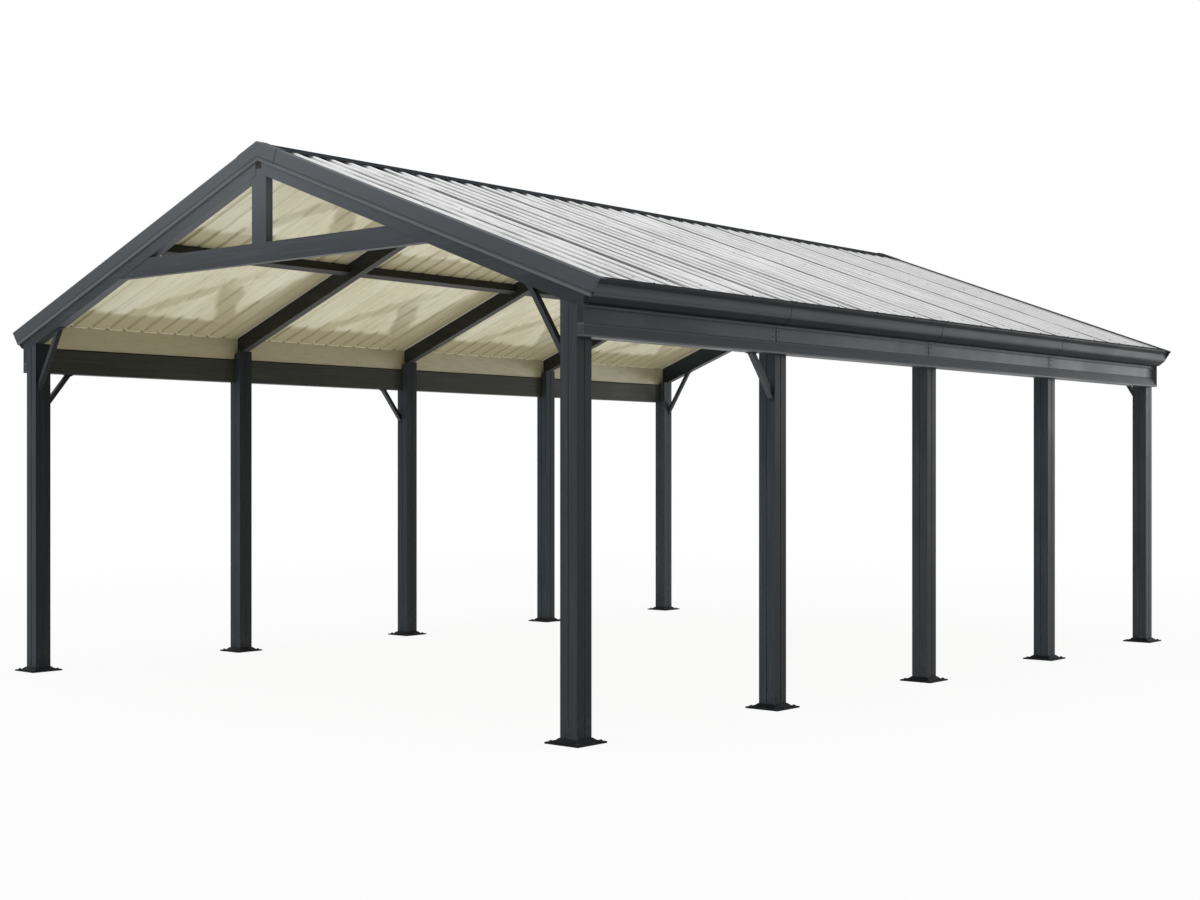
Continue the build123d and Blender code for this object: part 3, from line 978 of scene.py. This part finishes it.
@dataclass
class EaveSeals:
    """Soft seals between the eave beams and the trims, and in the upright joints of the beams."""

    inner: float = 2.690
    outer: float = 2.742
    bulge: float = 0.0012
    end: float = 3.736
    web: float = POST_X + POST_HALF + 0.009
    joint_width: float = 0.008
    joint_heights: Pair = (2.256, 2.340)

    def outline(self, side: Side) -> list[Pair]:
        """Closed (x, z) outline of one seal with rounded outer edges.

        Args:
            side: The eave that it closes.

        Returns:
            The corners.
        """
        low, high = BEAM_TOP + 0.0002, BEAM_TOP + 0.0038
        corners = [(self.inner, low), (self.outer, low), (self.outer + self.bulge, low + 0.0009)]
        corners += [(self.outer + self.bulge, high - 0.0009), (self.outer, high), (self.inner, high)]
        return [(side.value * x, z) for x, z in corners]

    def build(self, finish: bpy.types.Material) -> None:
        """Make the joined mesh.

        Args:
            finish: Rubber of the seals.
        """
        shape = Shape()
        low, high = self.joint_heights
        for side in Side:
            shape.join(Shape.swept(self.outline(side), -self.end, self.end), Matrix.Identity(4))
            face, crown = side.value * (self.web - 0.0002), side.value * (self.web + self.bulge)
            strip = [(face, low), (crown, low + self.bulge), (crown, high - self.bulge), (face, high)]
            for row in ROWS[1:-1]:
                start = row - POST_HALF - self.joint_width / 2
                shape.join(Shape.swept(strip, start, start + self.joint_width), Matrix.Identity(4))
        shape.piece("eave_seals", finish, Slot.FRAME)


@dataclass
class BeamScrews:
    """Pan-head screws beside the joints and ends of the eave beams."""

    web: float = POST_X + POST_HALF + 0.009
    heights: Pair = (2.283, 2.318)
    inset: float = 0.030
    radius: float = 0.0048
    height: float = 0.0026

    def screw(self) -> Shape:
        """Pan head."""
        r, h = self.radius, self.height
        return Shape.turned([(r, 0.0), (r, h * 0.35), (r * 0.8, h * 0.85), (r * 0.35, h)], 14)

    def build(self, finish: bpy.types.Material) -> None:
        """Make the joined mesh.

        Args:
            finish: Paint of the screws.
        """
        shape, screw = Shape(), self.screw()
        joints = [row - POST_HALF for row in ROWS[1:-1]]
        places = [ROWS[0] - POST_HALF + 0.025, ROWS[-1] + POST_HALF - 0.025]
        places += [joint + step for joint in joints for step in (-self.inset, self.inset)]
        for side in Side:
            for y in places:
                for z in self.heights:
                    place = Vector((side.value * self.web, y, z))
                    shape.join(screw, seat(place, Vector((side.value, 0.0, 0.0))))
        shape.piece("beam_screws", finish, Slot.FRAME)


@dataclass
class BraceBolts:
    """Hexagon bolts in the bent end tabs of the knee braces."""

    radius: float = 0.0072
    height: float = 0.0052
    offset: float = 0.026
    tab: float = 0.006
    gable_run: float = 0.250
    gable_drop: float = 0.395
    end_rafter_depth: float = 0.158
    side_run: float = 0.205
    side_drop: float = 0.255

    def bolt(self) -> Shape:
        """Hexagon head on a washer."""
        shape = Shape()
        r, h = self.radius, self.height
        washer = [(r * 1.25, 0.0), (r * 1.25, 0.0014)]
        head = [(r, 0.0014), (r, 0.0014 + h * 0.85), (r * 0.84, 0.0014 + h)]
        shape.join(Shape.turned(washer, 18), Matrix.Identity(4))
        shape.join(Shape.turned(head, 6), Matrix.Identity(4))
        return shape

    def gable_places(self) -> list[tuple[Vector, Vector]]:
        """Seats of the bolts of the four gable braces as points and directions."""
        head_x = POST_X - POST_HALF - self.gable_run
        head_z = RIDGE_Z - head_x * math.tan(SLOPE) - self.end_rafter_depth / math.cos(SLOPE)
        foot_z = head_z - self.gable_drop
        seats = []
        for side in Side:
            for row, inward in ((ROWS[0], 1.0), (ROWS[-1], -1.0)):
                y = row + inward * (0.034 - POST_HALF)
                for step in (-self.offset, self.offset):
                    face = Vector((side.value * (POST_X - POST_HALF - self.tab), y, foot_z + step))
                    seats.append((face, Vector((-side.value, 0.0, 0.0))))
                    down = -slope_normal(side)
                    along = Vector((side.value * math.cos(SLOPE), 0.0, -math.sin(SLOPE)))
                    head = Vector((side.value * head_x, y, head_z)) + along * step + down * self.tab
                    seats.append((head, down))
        return seats

    def side_places(self) -> list[tuple[Vector, Vector]]:
        """Seats of the bolts of the three side braces as points and directions."""
        seats = []
        for side, row, heading in ((Side.LEFT, 0, 1.0), (Side.LEFT, 2, -1.0), (Side.RIGHT, 1, -1.0)):
            x = side.value * (POST_X + POST_HALF - 0.031)
            face_y = ROWS[row] + heading * POST_HALF
            for step in (-self.offset, self.offset):
                foot = Vector((x, face_y + heading * self.tab, BEAM_BOTTOM - self.side_drop + step))
                seats.append((foot, Vector((0.0, heading, 0.0))))
                head = Vector((x, face_y + heading * (self.side_run + step), BEAM_BOTTOM - self.tab))
                seats.append((head, Vector((0.0, 0.0, -1.0))))
        return seats

    def build(self, finish: bpy.types.Material) -> None:
        """Make the joined mesh.

        Args:
            finish: Paint of the bolts.
        """
        shape, bolt = Shape(), self.bolt()
        for number, (place, normal) in enumerate(self.gable_places() + self.side_places()):
            shape.join(bolt, seat(place, normal, 0.37 * number))
        shape.piece("brace_bolts", finish, Slot.FRAME)


# Studio

@dataclass
class Studio:
    """Floor, world light, soft boxes and camera."""

    floor_half: float = 80.0
    world_strength: float = 0.80
    camera_place: Point = (8.8125, -10.7243, 1.4691)
    camera_yaw: float = 40.525
    focal_pixels: float = 1744.66
    horizon: float = 469.94
    image_width: float = 1200.0
    image_height: float = 900.0

    def build(self) -> None:
        """Make everything round the object."""
        self.floor()
        self.world()
        self.lamp("over", (0.0, -3.0, 9.0), (0.0, -1.0, 0.0), (12.0, 12.0), 160.0)
        self.lamp("front", (-3.0, -16.0, 5.0), (0.0, 0.0, 1.6), (7.0, 7.0), 170.0)
        self.lamp("far_right", (10.5, 21.0, 4.5), (2.7, 3.0, 2.2), (7.0, 6.0), 900.0)
        self.lamp("bounce", (0.0, 0.0, 0.02), (0.0, 0.0, 3.0), (5.0, 7.4), 45.0)
        self.camera()

    def floor(self) -> None:
        """Make the floor."""
        half = self.floor_half
        mesh = bpy.data.meshes.new("studio_floor")
        corners = [(-half, -half, -0.001), (half, -half, -0.001), (half, half, -0.001), (-half, half, -0.001)]
        mesh.from_pydata(corners, [], [(0, 1, 2, 3)])
        mesh.materials.append(PaleFloor().build())
        sheet = bpy.data.objects.new("studio_floor", mesh)
        bpy.context.scene.collection.objects.link(sheet)

    def world(self) -> None:
        """Light from all round, seen and mirrored as plain white."""
        world = bpy.data.worlds.new("studio_world")
        bpy.context.scene.world = world
        shader = Shader(world)
        light, white = (
            shader.add("ShaderNodeBackground", None, {"Color": (1.0, 1.0, 1.0, 1.0), "Strength": strength})
            for strength in (self.world_strength, 1.0)
        )
        inputs = {0: shader.background_seen(), 1: light, 2: white}
        shader.output(shader.add("ShaderNodeMixShader", None, inputs), "ShaderNodeOutputWorld")

    def lamp(self, name: str, place: Point, aim: Point, size: Pair, power: float) -> None:
        """Add one soft box.

        Args:
            name: Its name.
            place: Where it hangs.
            aim: Point that it faces.
            size: Width and height in metres.
            power: Power in watts.
        """
        light = bpy.data.lights.new(name, "AREA")
        light.shape = "RECTANGLE"
        light.size, light.size_y = size
        light.energy = power
        lamp = bpy.data.objects.new(name, light)
        lamp.location = place
        lamp.rotation_mode = "QUATERNION"
        lamp.rotation_quaternion = (Vector(aim) - Vector(place)).to_track_quat("-Z", "Y")
        lamp.visible_camera = False
        bpy.context.scene.collection.objects.link(lamp)

    def camera(self) -> None:
        """Level camera at the viewing angle of the photograph."""
        data = bpy.data.cameras.new("camera")
        data.sensor_width = 36.0
        data.lens = self.focal_pixels / self.image_width * data.sensor_width
        data.shift_y = (self.horizon - self.image_height / 2) / self.image_width
        data.clip_end = 300.0
        camera = bpy.data.objects.new("camera", data)
        camera.location = self.camera_place
        camera.rotation_euler = (math.pi / 2, 0.0, math.radians(self.camera_yaw))
        bpy.context.scene.collection.objects.link(camera)
        bpy.context.scene.camera = camera


class FrameDresser:
    """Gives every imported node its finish."""

    def __init__(self) -> None:
        """Make the finishes."""
        post = {"specular": 0.13, "colour": (0.026, 0.033, 0.039), "faded": (0.039, 0.046, 0.053)}
        # The rake trims get a lighter copy of the paint as painted light.
        rake = {"colour": (0.045, 0.052, 0.060), "faded": (0.056, 0.064, 0.072)}
        self.post = PostCoat("post_coat", Grain.UPRIGHT, deep=(0.005, 0.006, 0.007), **post).build()
        plate = {
            "specular": 0.06,
            "colour": (0.007, 0.009, 0.011),
            "faded": (0.012, 0.014, 0.017),
            "line": (0.024, 0.027, 0.030),
            "dust": (0.050, 0.048, 0.045),
        }
        self.plate = PowderCoat("plate_coat", Grain.ACROSS, **plate).build()
        self.gable = GableCoat("gable_coat", Grain.ACROSS).build()
        self.rake = RakeCoat("rake_coat", Grain.ACROSS, **rake).build()
        self.ridge = PowderCoat("ridge_coat", Grain.ALONG_RIDGE, specular=0.04, painted_underside_light=(0.03, 0.033, 0.036)).build()
        # A darker, olive-tinted copy of the paint as painted shade under the roof, with a stronger painted edge
        # highlight.
        shaded_paint = {
            "specular": 0.15,
            "colour": (0.020, 0.0205, 0.016),
            "faded": (0.029, 0.0295, 0.023),
            "line": (0.048, 0.048, 0.040),
            "painted_underside_light": (0.055, 0.056, 0.052),
            "worn_and_highlight": (0.22, 0.225, 0.22),
            "edge_radius": 0.0035,
        }
        self.inner = PowderCoat("inner_coat", Grain.ALONG_RIDGE, **shaded_paint).build()
        self.rafter = PowderCoat("rafter_coat", Grain.ACROSS, **shaded_paint).build()
        self.trim = TrimCoat("trim_coat", Grain.ALONG_RIDGE, specular=0.09).build()
        self.beam = BeamCoat("beam_coat", Grain.ALONG_RIDGE, specular=0.20).build()
        self.sheet = RoofSheet().build()
        self.lining = EaveLining().build()

    def finish_of(self, node: str, slot: Slot) -> bpy.types.Material:
        """Finish of one node.

        Args:
            node: Its name.
            slot: Its material slot.

        Returns:
            The material.
        """
        if slot is Slot.SHEET:
            return self.sheet
        if slot is Slot.LINING:
            return self.lining
        starts = {
            ("post", "gable_braces", "side_braces"): self.post,
            ("base",): self.plate,
            ("king", "tie", "rafters_front", "rafters_back"): self.gable,
            ("rake", "apex"): self.rake,
            ("rafters",): self.rafter,
            ("eave_trim",): self.trim,
            ("eave_beam", "beam_end"): self.beam,
            ("ridge_cap",): self.ridge,
        }
        return next((finish for names, finish in starts.items() if node.startswith(names)), self.inner)

    def dress(self) -> None:
        """Put the finishes on all nodes."""
        slots = {entry["node"]: Slot(entry["material_slot"]) for entry in frame["record"]["subparts"]}
        for name, node in frame["nodes"].items():
            finish = self.finish_of(name, slots[name])
            node.data.materials.clear()
            node.data.materials.append(finish)
            log.info("dressed %s with %s", name, finish.name)


def main() -> None:
    """Build the looks of the carport."""
    logging.basicConfig(level=logging.INFO, format="%(message)s")
    bpy.context.scene.view_settings.view_transform = "Standard"
    dresser = FrameDresser()
    dresser.dress()
    dark = PaintedScrew("dark_screw_paint", (0.022, 0.028, 0.033), (0.06, 0.064, 0.068), 0.2).build()
    pale = PaintedScrew("pale_screw_paint", (0.50, 0.505, 0.51), (0.30, 0.30, 0.31)).build()
    AnchorBolts().build(dark)
    SheetScrews().build(pale)
    CapScrews().build(dark)
    TrimSleeves().build(dresser.trim)
    rubber = PaintedScrew("black_rubber", (0.008, 0.008, 0.008), (0.016, 0.016, 0.016), 0.05).build()
    EaveSeals().build(rubber)
    BeamScrews().build(dark)
    BraceBolts().build(dark)
    Studio().build()


if __name__ == "__main__":
    main()
